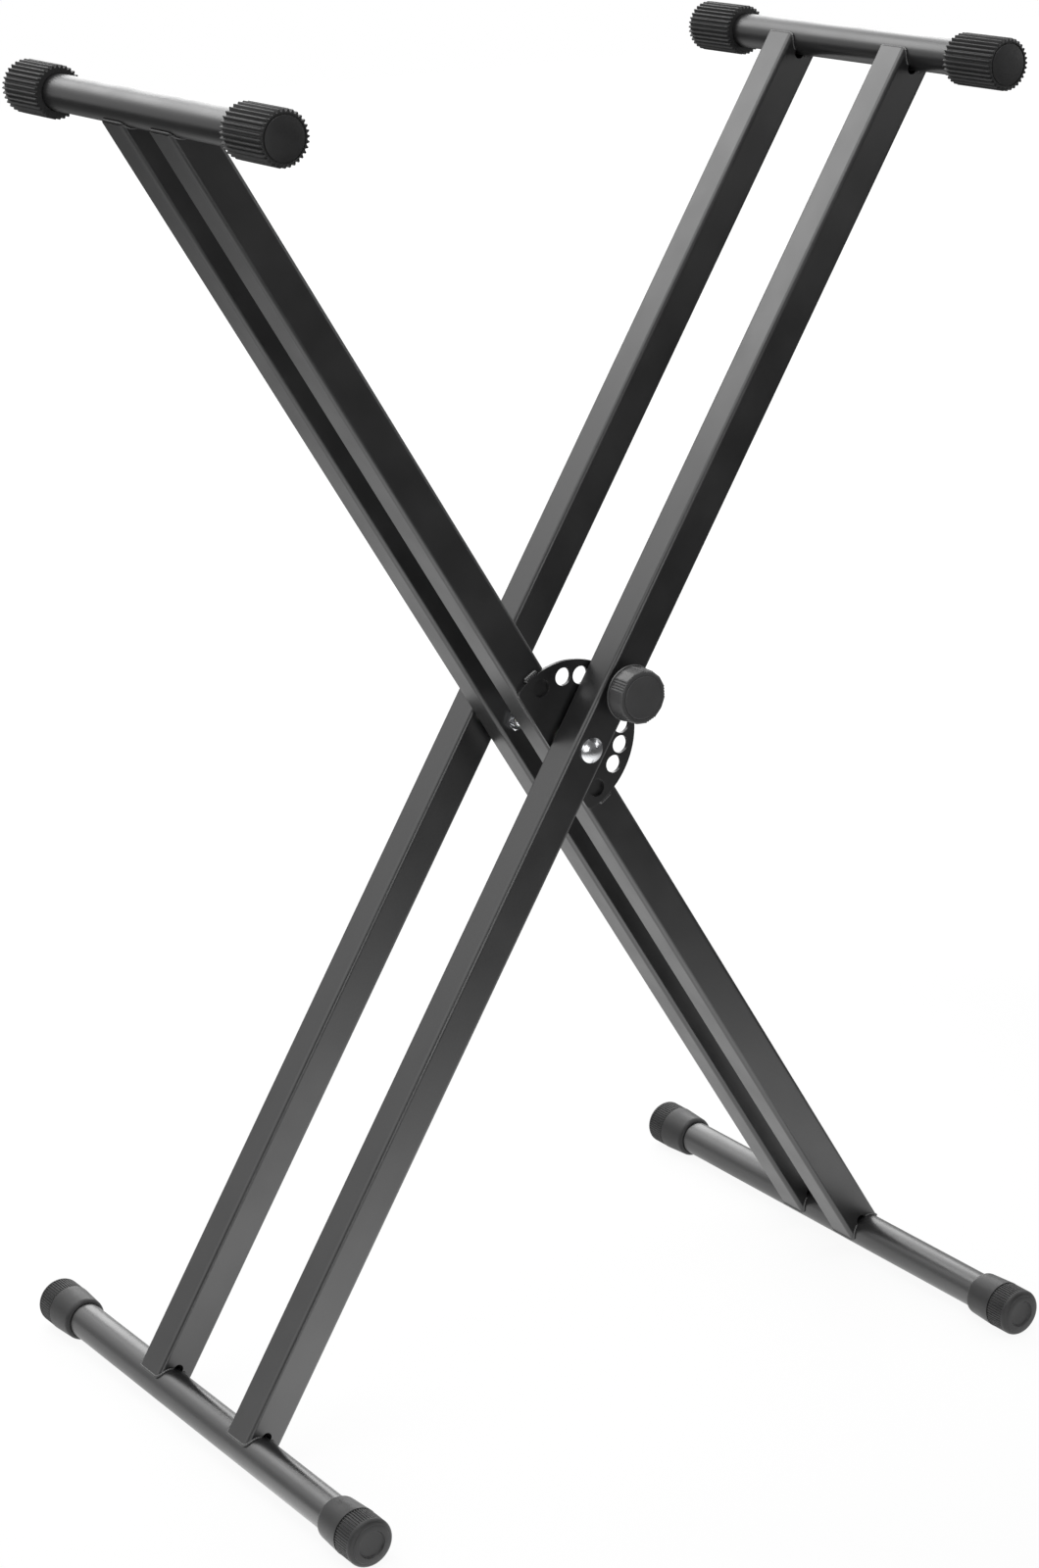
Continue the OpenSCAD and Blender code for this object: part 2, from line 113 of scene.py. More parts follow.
class Wiring:
    """Short ways to add nodes to a node tree and to fill their inputs."""

    def __init__(self, tree: bpy.types.NodeTree) -> None:
        """Keeps the tree that the nodes go into."""
        self.tree = tree

    def feed(self, node: bpy.types.Node, inputs: dict[object, object]) -> bpy.types.Node:
        """Fills inputs of a node.

        Args:
            node: The node.
            inputs: Names or numbers of its inputs, each with a value or with the socket to link.

        Returns:
            The node.
        """
        for key, value in inputs.items():
            if isinstance(value, Socket):
                self.tree.links.new(value, node.inputs[key])
            else:
                node.inputs[key].default_value = value
        return node

    def add(self, kind: str, inputs: dict[object, object]) -> bpy.types.Node:
        """Adds a node of a kind and fills its inputs."""
        return self.feed(self.tree.nodes.new(kind), inputs)

    def mix(self, share: object, first: object, second: object, kind: str = "FLOAT") -> Socket:
        """Mixes two numbers or two colours.

        Args:
            share: The share of the second.
            first: The result where the share is 0.
            second: The result where it is 1.
            kind: FLOAT or RGBA.

        Returns:
            The result's socket.
        """
        node = self.tree.nodes.new("ShaderNodeMix")
        node.data_type = kind
        return self.feed(node, {"Factor": share, "A": first, "B": second}).outputs["Result"]

    def span(
        self, value: object, start: float, end: float, low: float, high: float, curve: str = "SMOOTHSTEP"
    ) -> Socket:
        """Maps a value from one range to another and holds it there, softly unless told otherwise.

        Args:
            value: The value's socket.
            start: Value that gives low.
            end: Value that gives high.
            low: Result at the start.
            high: Result at the end.
            curve: The node's interpolation.

        Returns:
            The result's socket.
        """
        node = self.tree.nodes.new("ShaderNodeMapRange")
        node.interpolation_type = curve
        ends = {"From Min": start, "From Max": end, "To Min": low, "To Max": high}
        return self.feed(node, {"Value": value, **ends}).outputs["Result"]


class Surface(Wiring):
    """A material being wired, with its patterns in the object's own coordinates."""

    def __init__(self, name: str) -> None:
        """Starts a material of one name with one Principled shader.

        Args:
            name: The material's name.
        """
        self.material = bpy.data.materials.new(name)
        self.material.use_nodes = True
        super().__init__(self.material.node_tree)
        self.shader = next(n for n in self.tree.nodes if n.type == "BSDF_PRINCIPLED")
        self.place = self.tree.nodes.new("ShaderNodeTexCoord").outputs["Object"]

    def noise(self, size: float, detail: float = 2.0, rough: float = 0.5) -> Socket:
        """Adds a noise of a blotch's size, its octaves of finer noise and how strong those are."""
        inputs = {"Scale": 1 / size, "Detail": detail, "Roughness": rough, "Vector": self.place}
        return self.add("ShaderNodeTexNoise", inputs).outputs["Fac"]

    def squeeze(self, times: Triple) -> None:
        """Makes the patterns added from here on finer along X, Y and Z, each by its own factor."""
        self.place = self.add("ShaderNodeMapping", {"Scale": times, "Vector": self.place}).outputs["Vector"]

    def relief(self, *bumps: tuple[Socket, float]) -> None:
        """Lays bumps over one another.

        Args:
            *bumps: Height sockets, each with the depth of its bumps.
        """
        below: dict[object, object] = {}
        for height, depth in bumps:
            bump = self.add("ShaderNodeBump", {"Strength": 1.0, "Distance": depth, "Height": height, **below})
            below = {"Normal": bump.outputs["Normal"]}
        self.feed(self.shader, below)


@dataclass(frozen=True)
class Finish:
    """What every finish has: its slot, and the two close colours and glosses that it wanders between."""

    slot: Slot
    dark: Triple
    light: Triple
    rough: Pair
    constants: ClassVar[dict[str, float]] = {}
    noise_reach: ClassVar[Pair] = (0.3, 0.7)

    def material(self) -> bpy.types.Material:
        """Sets the shader's constants and wires the patterns.

        Returns:
            The material, which has the slot's name.
        """
        surface = Surface(self.slot.value)
        surface.feed(surface.shader, self.constants)
        self.wire(surface)
        return surface.material

    def wire(self, surface: Surface) -> None:
        """Adds the patterns of this finish."""
        raise NotImplementedError

    def wander(self, surface: Surface, noise: Socket) -> None:
        """Makes the colour and the roughness follow a noise, over the values that it mostly takes.

        Args:
            surface: The material to wire.
            noise: The noise's socket, about 0.5 on average.
        """
        share = surface.span(noise, *self.noise_reach, 0.0, 1.0, "LINEAR")
        colour = surface.mix(share, (*self.dark, 1), (*self.light, 1), "RGBA")
        rough = surface.span(noise, *self.noise_reach, *self.rough, "LINEAR")
        surface.feed(surface.shader, {"Base Color": colour, "Roughness": rough})


@dataclass(frozen=True)
class PowderCoat(Finish):
    """Satin black powder coat: orange peel with a fine grain in it, slightly uneven in gloss."""

    constants = {"IOR": 1.55, "Specular IOR Level": 1.0}
    peel: float = 2.2 * MM
    peel_depth: float = 0.004 * MM
    grain: float = 0.35 * MM
    grain_depth: float = 0.0025 * MM
    patch: float = 45 * MM

    def wire(self, surface: Surface) -> None:
        """Wires the peel, the grain and the patches of gloss.

        Args:
            surface: The material to wire.
        """
        self.wander(surface, surface.noise(self.patch, 3.0))
        peel, grain = surface.noise(self.peel, 1.0), surface.noise(self.grain)
        surface.relief((peel, self.peel_depth), (grain, self.grain_depth))


@dataclass(frozen=True)
class MouldedRubber(Finish):
    """Matte black rubber as it leaves the mould: a dry skin with a fine tooth and faint flow marks."""

    constants = {"IOR": 1.5, "Specular IOR Level": 0.42, "Sheen Weight": 0.06, "Sheen Roughness": 0.5}
    tooth: float = 0.45 * MM
    tooth_depth: float = 0.02 * MM
    flow: float = 14 * MM

    def wire(self, surface: Surface) -> None:
        """Wires the skin's tooth and the flow marks."""
        self.wander(surface, surface.noise(self.flow, 4.0))
        surface.relief((surface.noise(self.tooth, 3.0, 0.6), self.tooth_depth))


@dataclass(frozen=True)
class BrightZinc(Finish):
    """Bright zinc plate: a mirror slightly broken by the dull patches of the bath."""

    constants = {"Metallic": 1.0}
    patch: float = 6 * MM
    ripple: float = 1.5 * MM
    ripple_depth: float = 0.006 * MM

    def wire(self, surface: Surface) -> None:
        """Wires the patches and the ripple of the plate."""
        self.wander(surface, surface.noise(self.patch, 4.0))
        surface.relief((surface.noise(self.ripple, 1.0), self.ripple_depth))


@dataclass(frozen=True)
class OiledSteel(Finish):
    """Plain turned steel with a film of oil: fine lines round the pieces' axes, which run along Y."""

    constants = {"Metallic": 1.0}
    line: float = 0.5 * MM
    line_depth: float = 0.008 * MM
    closeness: Triple = (1.0, 12.0, 1.0)

    def wire(self, surface: Surface) -> None:
        """Wires the turning lines.

        Args:
            surface: The material to wire.
        """
        surface.squeeze(self.closeness)
        lines = surface.noise(self.line, 3.0)
        self.wander(surface, lines)
        surface.relief((lines, self.line_depth))


@dataclass(frozen=True)
class NaturalNylon(Finish):
    """Unfilled nylon: milky, half glossy and slightly see-through at its edges."""

    constants = {"IOR": 1.53, "Subsurface Weight": 0.2, "Subsurface Scale": 2 * MM}
    cloud: float = 5 * MM

    def wire(self, surface: Surface) -> None:
        """Wires the clouds in the nylon."""
        self.wander(surface, surface.noise(self.cloud))


@dataclass(frozen=True)
class KnobPlastic(Finish):
    """Glass-filled black plastic from a spark-eroded mould: a fine, even grain."""

    constants = {"IOR": 1.5, "Specular IOR Level": 0.7}
    grain: float = 0.3 * MM
    grain_depth: float = 0.012 * MM
    patch: float = 16 * MM

    def wire(self, surface: Surface) -> None:
        """Wires the mould's grain and the patches of gloss."""
        self.wander(surface, surface.noise(self.patch))
        surface.relief((surface.noise(self.grain, 2.0, 0.6), self.grain_depth))


FINISHES: tuple[Finish, ...] = (
    PowderCoat(Slot.PAINT, (0.0085, 0.0085, 0.009), (0.0115, 0.0115, 0.012), (0.29, 0.38)),
    MouldedRubber(Slot.RUBBER, (0.022, 0.022, 0.0224), (0.028, 0.028, 0.0285), (0.4, 0.5)),
    BrightZinc(Slot.ZINC, (0.66, 0.67, 0.69), (0.78, 0.79, 0.81), (0.12, 0.24)),
    OiledSteel(Slot.STEEL, (0.40, 0.39, 0.38), (0.52, 0.51, 0.50), (0.26, 0.42)),
    NaturalNylon(Slot.NYLON, (0.70, 0.68, 0.62), (0.78, 0.76, 0.70), (0.38, 0.5)),
    KnobPlastic(Slot.PLASTIC, (0.062, 0.062, 0.0628), (0.070, 0.070, 0.0708), (0.36, 0.44)),
)


# Mesh work


def even_steps(start: float, end: float, steps: int) -> list[float]:
    """Numbers from start to end at even steps, both included."""
    return [start + (end - start) * i / steps for i in range(steps + 1)]


def next_ring(
    bm: Mesh, edges: Sequence[bmesh.types.BMEdge]
) -> tuple[list[bmesh.types.BMVert], list[bmesh.types.BMEdge]]:
    """Extrudes an open ring of edges.

    Args:
        bm: The mesh.
        edges: The ring's edges.

    Returns:
        The new ring's vertices and its edges.
    """
    made = bmesh.ops.extrude_edge_only(bm, edges=edges)["geom"]
    verts = [g for g in made if isinstance(g, bmesh.types.BMVert)]
    return verts, [g for g in made if isinstance(g, bmesh.types.BMEdge) and g.is_boundary]


@dataclass(frozen=True)
class Ring:
    """One ring of a form about Z: its height, its plain radius and the share of the ribs that it carries."""

    z: float
    radius: float
    ribs: float = 0.0


@dataclass
class RingForm:
    """A closed skin of rings about Z, each extruded from the last.

    Rings of radius 0 at the ends close to a point. Where the last ring is the first one again, the skin
    closes on itself and leaves a hole through its middle.
    """

    segments: int
    rib: Optional[Profile] = None
    pole: float = 0.01 * MM

    def build(self, rings: Sequence[Ring]) -> Mesh:
        """Draws the skin.

        Args:
            rings: The rings in order, from one end of the skin to the other.

        Returns:
            The skin's mesh, about Z.
        """
        bm = bmesh.new()
        first = verts = bmesh.ops.create_circle(bm, segments=self.segments, radius=1.0)["verts"]
        edges = list(bm.edges)
        self._set(first, rings[0])
        for ring in rings[1:]:
            verts, edges = next_ring(bm, edges)
            self._set(verts, ring)
        if rings[0] == rings[-1]:
            bmesh.ops.remove_doubles(bm, verts=first + verts, dist=self.pole)
            return bm
        for end, ring in ((first, rings[0]), (verts, rings[-1])):
            bmesh.ops.pointmerge(bm, verts=end, merge_co=(0, 0, ring.z))
        return bm

    def _set(self, verts: Iterable[bmesh.types.BMVert], ring: Ring) -> None:
        """Puts one ring's vertices at its height and radius, ribs included.

        Args:
            verts: The ring's vertices, at any radius.
            ring: Where they go.
        """
        for vert in verts:
            angle = math.atan2(vert.co.y, vert.co.x)
            radius = max(ring.radius, self.pole)
            if self.rib is not None and ring.ribs:
                radius += ring.ribs * self.rib(angle)
            vert.co = (radius * math.cos(angle), radius * math.sin(angle), ring.z)


def arc_rings(z: float, radius: float, bend: float, start: float, end: float, steps: int) -> list[Ring]:
    """Rings along an arc of radius bend about (radius, z), by degrees with 0 outwards and 90 up."""
    angles = map(math.radians, even_steps(start, end, steps))
    return [Ring(z + bend * math.sin(a), radius + bend * math.cos(a)) for a in angles]


def smooth(share: float) -> float:
    """A soft step from 0 to 1."""
    share = min(1.0, max(0.0, share))
    return share * share * (3 - 2 * share)


@dataclass(frozen=True)
class Ribs:
    """Even ribs round a circle, each with its widths at root and tip and the mesh steps that it takes."""

    count: int
    height: float
    root: float
    tip: float
    steps: int

    def profile(self, radius: float) -> Profile:
        """The ribs as a function from angle to height, with soft shoulders and one rib at -90 degrees.

        Args:
            radius: Radius at which the widths are measured.

        Returns:
            A function from angle to height.
        """
        pitch = 2 * math.pi / self.count

        def height_at(angle: float) -> float:
            """Height of the ribs at one angle."""
            turned = (angle + math.pi / 2 + pitch / 2) % pitch - pitch / 2
            off = abs(turned) * radius
            return self.height * smooth((self.root / 2 - off) / (self.root / 2 - self.tip / 2))

        return height_at


def finished(
    bm: Mesh, name: str, place: Matrix = Matrix.Identity(4), smooth_below: float = 32.0
) -> bpy.types.Object:
    """Makes an object of a mesh, with its place in its vertices.

    Args:
        bm: The mesh, which is used up.
        name: The piece's name.
        place: Where it goes in the row frame.
        smooth_below: Edges that turn by less than this many degrees are shaded smooth.

    Returns:
        The new object.
    """
    bmesh.ops.transform(bm, matrix=place, verts=bm.verts)
    bmesh.ops.recalc_face_normals(bm, faces=bm.faces)
    limit = math.radians(smooth_below)
    for face in bm.faces:
        face.smooth = True
    for edge in bm.edges:
        edge.smooth = edge.calc_face_angle(math.pi) < limit
    mesh = bpy.data.meshes.new(name)
    bm.to_mesh(mesh)
    bm.free()
    piece = bpy.data.objects.new(name, mesh)
    bpy.context.scene.collection.objects.link(piece)
    return piece


def merged_copy(node: str, join_below: float = 0.002 * MM, flat_below: float = 0.5) -> Mesh:
    """A copy of a CAD node's mesh, with its loose triangles joined and its flat faces whole.

    Args:
        node: The node's name.
        join_below: Vertices nearer to each other than this become one.
        flat_below: Edges that turn by less than this many degrees are dissolved.

    Returns:
        The copy, in the row frame.
    """
    bm = bmesh.new()
    bm.from_mesh(frame["nodes"][node].data)
    bmesh.ops.remove_doubles(bm, verts=bm.verts, dist=join_below)
    bmesh.ops.dissolve_limit(
        bm, angle_limit=math.radians(flat_below), verts=bm.verts, edges=bm.edges,
        use_dissolve_boundaries=False,
    )
    return bm


def keep_flats_flat(piece: bpy.types.Object) -> None:
    """Lets large flat faces keep their own shading beside round corners.

    Args:
        piece: The piece that gets the modifier.
    """
    weighted = piece.modifiers.new("flat_faces", "WEIGHTED_NORMAL")
    weighted.weight = 100
    weighted.keep_sharp = True


@dataclass(frozen=True)
class WeldBead:
    """A painted weld: a rippled bead that tapers at both ends."""

    radius: float = 1.1 * MM
    step: float = 0.45 * MM
    ripple_pitch: float = 1.7 * MM
    ripple: float = 0.1
    taper: float = 1.6 * MM
    tip: float = 0.25
    tip_length: float = 0.2
    sides: int = 10

    def lay(self, bm: Mesh, seam: Sequence[Vector]) -> None:
        """Adds one bead to a mesh.

        Args:
            bm: The mesh to add it to.
            seam: Points along the seam, in the row frame.
        """
        points = self._even(seam)
        length = self.step * (len(points) - 1)
        headings = [(b - a).normalized() for a, b in zip(points, points[1:])]
        headings.append(headings[-1])
        turn = headings[0].to_track_quat("Z", "Y").to_matrix().to_4x4()
        start = bmesh.ops.create_circle(
            bm, segments=self.sides, radius=self._radius(0.0, length), cap_ends=True,
            matrix=Matrix.Translation(points[0]) @ turn,
        )["verts"]
        rim = list({edge for vert in start for edge in vert.link_edges})
        for i in range(1, len(points)):
            verts, rim = next_ring(bm, rim)
            grow = self._radius(i * self.step, length) / self._radius((i - 1) * self.step, length)
            bend = headings[i - 1].rotation_difference(headings[i]).to_matrix()
            bmesh.ops.translate(bm, verts=verts, vec=points[i] - points[i - 1])
            bmesh.ops.rotate(bm, verts=verts, cent=points[i], matrix=bend)
            bmesh.ops.scale(bm, verts=verts, vec=(grow, grow, grow), space=Matrix.Translation(-points[i]))
        bmesh.ops.contextual_create(bm, geom=rim)

    def _radius(self, along: float, length: float) -> float:
        """The bead's radius at a distance from its start.

        Args:
            along: Distance from its start.
            length: The bead's length.

        Returns:
            The radius there.
        """
        near_end = min(along, length - along)
        swell = self.tip + (1 - self.tip) * smooth((near_end + self.tip_length * self.taper) / self.taper)
        return self.radius * swell * (1 + self.ripple * math.cos(2 * math.pi * along / self.ripple_pitch))

    def _even(self, seam: Sequence[Vector]) -> list[Vector]:
        """Points at even steps along a seam.

        Args:
            seam: Points along the seam, at any distance.

        Returns:
            The new points.
        """
        points = [seam[0].copy()]
        left = self.step
        for a, b in zip(seam, seam[1:]):
            run = (b - a).length
            at = left
            while at <= run:
                points.append(a.lerp(b, at / run))
                at += self.step
            left = at - run
        return points


# Where things are


@dataclass(frozen=True)
class Bar:
    """A round bar or cap along Y, read from its CAD node."""

    x: float
    z: float
    radius: float
    low_y: float
    high_y: float

    @classmethod
    def of(cls, node: str) -> "Bar":
        """Reads a node that is round about an axis along Y."""
        low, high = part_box(node)
        return cls((low.x + high.x) / 2, (low.z + high.z) / 2, (high.x - low.x) / 2, low.y, high.y)

    @property
    def length(self) -> float:
        """Length along Y."""
        return self.high_y - self.low_y


def outward(x: float, z: float, side: Side, from_y: float) -> Matrix:
    """The place of a form drawn up Z so that it runs along Y, away from the stand's middle.

    Args:
        x: X of its axis.
        z: Z of its axis.
        side: The side that it runs to.
        from_y: Where its z = 0 lies, as a distance from the middle plane.

    Returns:
        The matrix from the form's own axes to the row frame.
    """
    turn = Matrix.Rotation(math.radians(-90 * side.value), 4, "X")
    return Matrix.Translation((x, side.value * from_y, z)) @ turn


PIVOT = Vector(next(j["pos_m"] for j in frame["joints"] if j["name"] == "fold"))


def lean(member: str) -> float:
    """The angle by which the outer or the inner frame leans from the upright, in radians."""
    top = Bar.of(f"{member}_support_bar")
    return math.atan2(top.x - PIVOT.x, top.z - PIVOT.z)


def frame_axes(member: str) -> Matrix:
    """From one crossed frame's axes, Z up its legs from the pivot and X across, to the row frame."""
    return Matrix.Translation(PIVOT) @ Matrix.Rotation(lean(member), 4, "Y")


def across(member: str, leg: str) -> list[float]:
    """How far each vertex of a leg lies across its frame from the pivot."""
    upright = frame_axes(member).inverted()
    return [(upright @ vert.co).x for vert in frame["nodes"][leg].data.vertices]


# Where pieces are handed over


@dataclass
class Bench:
    """Where pieces are finished: one material a slot, and each piece goes to its body."""

    materials: dict[Slot, bpy.types.Material] = field(default_factory=dict)

    def mix_finishes(self) -> None:
        """Wires every finish once."""
        for finish in FINISHES:
            self.materials[finish.slot] = finish.material()

    def dress(self, slot: Slot, *nodes: str) -> None:
        """Gives CAD nodes their finish.

        Args:
            slot: The slot whose finish they take.
            *nodes: The nodes' names.
        """
        for node in nodes:
            mesh = frame["nodes"][node].data
            mesh.materials.clear()
            mesh.materials.append(self.materials[slot])
            LOG.info("dressed %s in %s", node, slot.value)

    def hand_over(self, piece: bpy.types.Object, body: Body, slot: Slot, *nodes: str) -> None:
        """Finishes a new piece and puts it on its body.

        Args:
            piece: The piece.
            body: The body that it rides on.
            slot: The slot whose finish it takes.
            *nodes: CAD nodes that it stands for.
        """
        piece.data.materials.clear()
        piece.data.materials.append(self.materials[slot])
        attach(piece, body.value)
        if nodes:
            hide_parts(*nodes)
        LOG.info("made %s on %s in %s", piece.name, body.value, slot.value)


# Sub-assemblies


@dataclass
class SubAssembly:
    """What every sub-assembly has: the bench where its pieces are finished and handed over."""

    bench: Bench


@dataclass
class CrossedFrame(SubAssembly):
    """One of the two crossed frames: two legs welded to a support bar and a foot bar."""

    member: str
    body: Body
    leg_corner: float = 3.5 * MM
    notch_half: float = 4.8 * MM
    bead: WeldBead = WeldBead()
    bead_drop: float = 3.2 * MM
    bead_out: float = 0.9 * MM
    bead_off_bar: float = 0.4 * MM
    bead_off_leg: float = 0.2 * MM
    face_steps: int = 8
    corner_steps: int = 6

    def build(self) -> None:
        """Dresses the bars and makes the legs and their welds."""
        self.bench.dress(Slot.PAINT, f"{self.member}_support_bar", f"{self.member}_foot_bar")
        for side in Side:
            node = f"{self.member}_leg_{side.word}"
            leg = finished(merged_copy(node), f"{node}_tube", smooth_below=24.0)
            keep_flats_flat(leg)
            self.bench.hand_over(leg, self.body, Slot.PAINT, node)
            for end in ("support_bar", "foot_bar"):
                welds = finished(self._saddle_welds(node, end), f"{node}_{end}_weld", smooth_below=60.0)
                self.bench.hand_over(welds, self.body, Slot.PAINT)

    def _saddle_welds(self, leg: str, end: str) -> Mesh:
        """The two beads that join one end of a leg to its bar.

        Args:
            leg: The leg's node.
            end: "support_bar" or "foot_bar".

        Returns:
            The beads' mesh in the row frame.
        """
        bar = Bar.of(f"{self.member}_{end}")
        low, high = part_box(leg)
        axes = frame_axes(self.member).to_3x3()
        inward = (axes @ Vector((0, 0, 1))) * (-1 if end == "support_bar" else 1)
        sideways = axes @ Vector((1, 0, 0))
        centre = Vector((bar.x, (low.y + high.y) / 2, bar.z))
        half_face = max(map(abs, across(self.member, leg)))
        bm = bmesh.new()
        for sense in (-1, 1):
            self.bead.lay(bm, [
                centre + sideways * (sense * u) + inward * w + Vector((0, y, 0))
                for u, y, w in self._seam(bar.radius, half_face, (high.y - low.y) / 2)
            ])
        return bm

    def _seam(self, radius: float, half_face: float, half_side: float) -> list[Triple]:
        """Points of one bead round a leg's end, from the vent notch on one face to that on the other.

        Args:
            radius: The bar's radius.
            half_face: Half of the leg's size across the frame.
            half_side: Half of the leg's size along the bar.

        Returns:
            Points as (across the leg, along the bar, up the leg from the bar's axis).
        """
        ride = radius + self.bead_off_bar
        start = math.asin(self.notch_half / ride)
        edge = math.asin((half_face - self.leg_corner) / ride)
        out_y = half_side + self.bead_off_leg
        in_y = half_side - self.leg_corner
        end_u = math.sqrt((radius + self.bead_out) ** 2 - self.bead_drop**2)
        arc = even_steps(start, edge, self.face_steps)
        half = [(ride * math.sin(a), out_y, ride * math.cos(a)) for a in arc]
        last_u, _, last_w = half[-1]
        for turn in map(math.radians, even_steps(0, 90, self.corner_steps)[1:]):
            half.append((
                last_u + (end_u - last_u) * math.sin(turn),
                in_y + (out_y - in_y) * math.cos(turn),
                self.bead_drop + (last_w - self.bead_drop) * (1 - math.sin(turn)),
            ))
        return half + [(u, -y, w) for u, y, w in reversed(half)]


@dataclass
class EndCap(SubAssembly):
    """A rubber cap over one end of a bar: what the support caps and the feet have in common."""

    member: str
    body: Body
    side: Side
    bar: ClassVar[str]
    ribs: ClassVar[Ribs]
    end_wall: float = 4.0 * MM
    fit: float = 0.05 * MM

    def build(self) -> None:
        """Makes the cap in place of its plain CAD node."""
        node = f"{self.member}_{self.bar}_cap_{self.side.word}"
        cap = Bar.of(node)
        bar = Bar.of(f"{self.member}_{self.bar}_bar")
        reach = max(abs(cap.low_y), abs(cap.high_y))
        form = RingForm(self.ribs.count * self.ribs.steps, self.ribs.profile(cap.radius))
        place = outward(cap.x, cap.z, self.side, reach - cap.length)
        moulding = finished(form.build(self.rings(cap, bar.radius)), f"{node}_moulding", place)
        self.bench.hand_over(moulding, self.body, Slot.RUBBER, node)

    def bore(self, cap: Bar, bar: float, soft: float) -> list[Ring]:
        """The rings of the bore, from its bottom to its softened rim.

        Args:
            cap: The cap as its CAD node has it.
            bar: The bar's radius.
            soft: Width of the rim's softened edge.

        Returns:
            The rings in order.
        """
        depth = cap.length - self.end_wall
        wall = bar + self.fit
        return [Ring(depth, 0), Ring(depth, wall), Ring(soft, wall), Ring(0, wall + soft)]

    def rings(self, cap: Bar, bar: float) -> list[Ring]:
        """The cap's rings, from the bottom of its bore to the middle of its end."""
        raise NotImplementedError


@dataclass
class SupportCap(EndCap):
    """A ribbed rubber cap on the end of a support bar, with a domed disc in its face."""

    bar = "support"
    ribs = Ribs(count=32, height=2.1 * MM, root=3.1 * MM, tip=0.35 * MM, steps=10)
    chamfer: float = 0.6 * MM
    edge: float = 0.3 * MM
    disc_radius: float = 14.6 * MM
    disc_rise: float = 0.9 * MM
    disc_steps: int = 8
    groove: float = 0.9 * MM
    rib_start: float = 0.86
    rib_brow: float = 0.96
    rib_fade: float = 0.08

    def rings(self, cap: Bar, bar: float) -> list[Ring]:
        """The cap's rings, from the bottom of its bore to the top of its dome.

        Args:
            cap: The cap as its CAD node has it.
            bar: The bar's radius.

        Returns:
            The rings in order.
        """
        valley = cap.radius - self.ribs.height
        face = cap.length - self.disc_rise
        last = 1 - self.chamfer / self.ribs.height
        groove_out = self.disc_radius + self.groove
        floor = face - self.groove
        rings = [
            *self.bore(cap, bar, self.edge),
            Ring(0, valley - self.edge),
            Ring(0, valley, self.rib_start),
            Ring(self.edge, valley, 1.0),
            Ring(face - self.chamfer - self.edge, valley, 1.0),
            Ring(face - self.chamfer, valley, self.rib_brow),
            Ring(face - self.edge / 2, valley, last + self.rib_fade),
            Ring(face, valley - self.edge, last),
            Ring(face, groove_out + self.edge / 2),
            Ring(face - self.edge / 2, groove_out),
            Ring(floor, groove_out - self.edge / 2),
            Ring(floor, self.disc_radius + self.edge / 3),
            Ring(face - self.edge, self.disc_radius),
        ]
        rim = self.disc_radius - self.edge
        for i in range(self.disc_steps):
            radius = rim * (1 - i / self.disc_steps)
            rise = self.disc_rise * (1 - (radius / self.disc_radius) ** 3)
            rings.append(Ring(face + rise, radius))
        return rings + [Ring(cap.length, 0)]


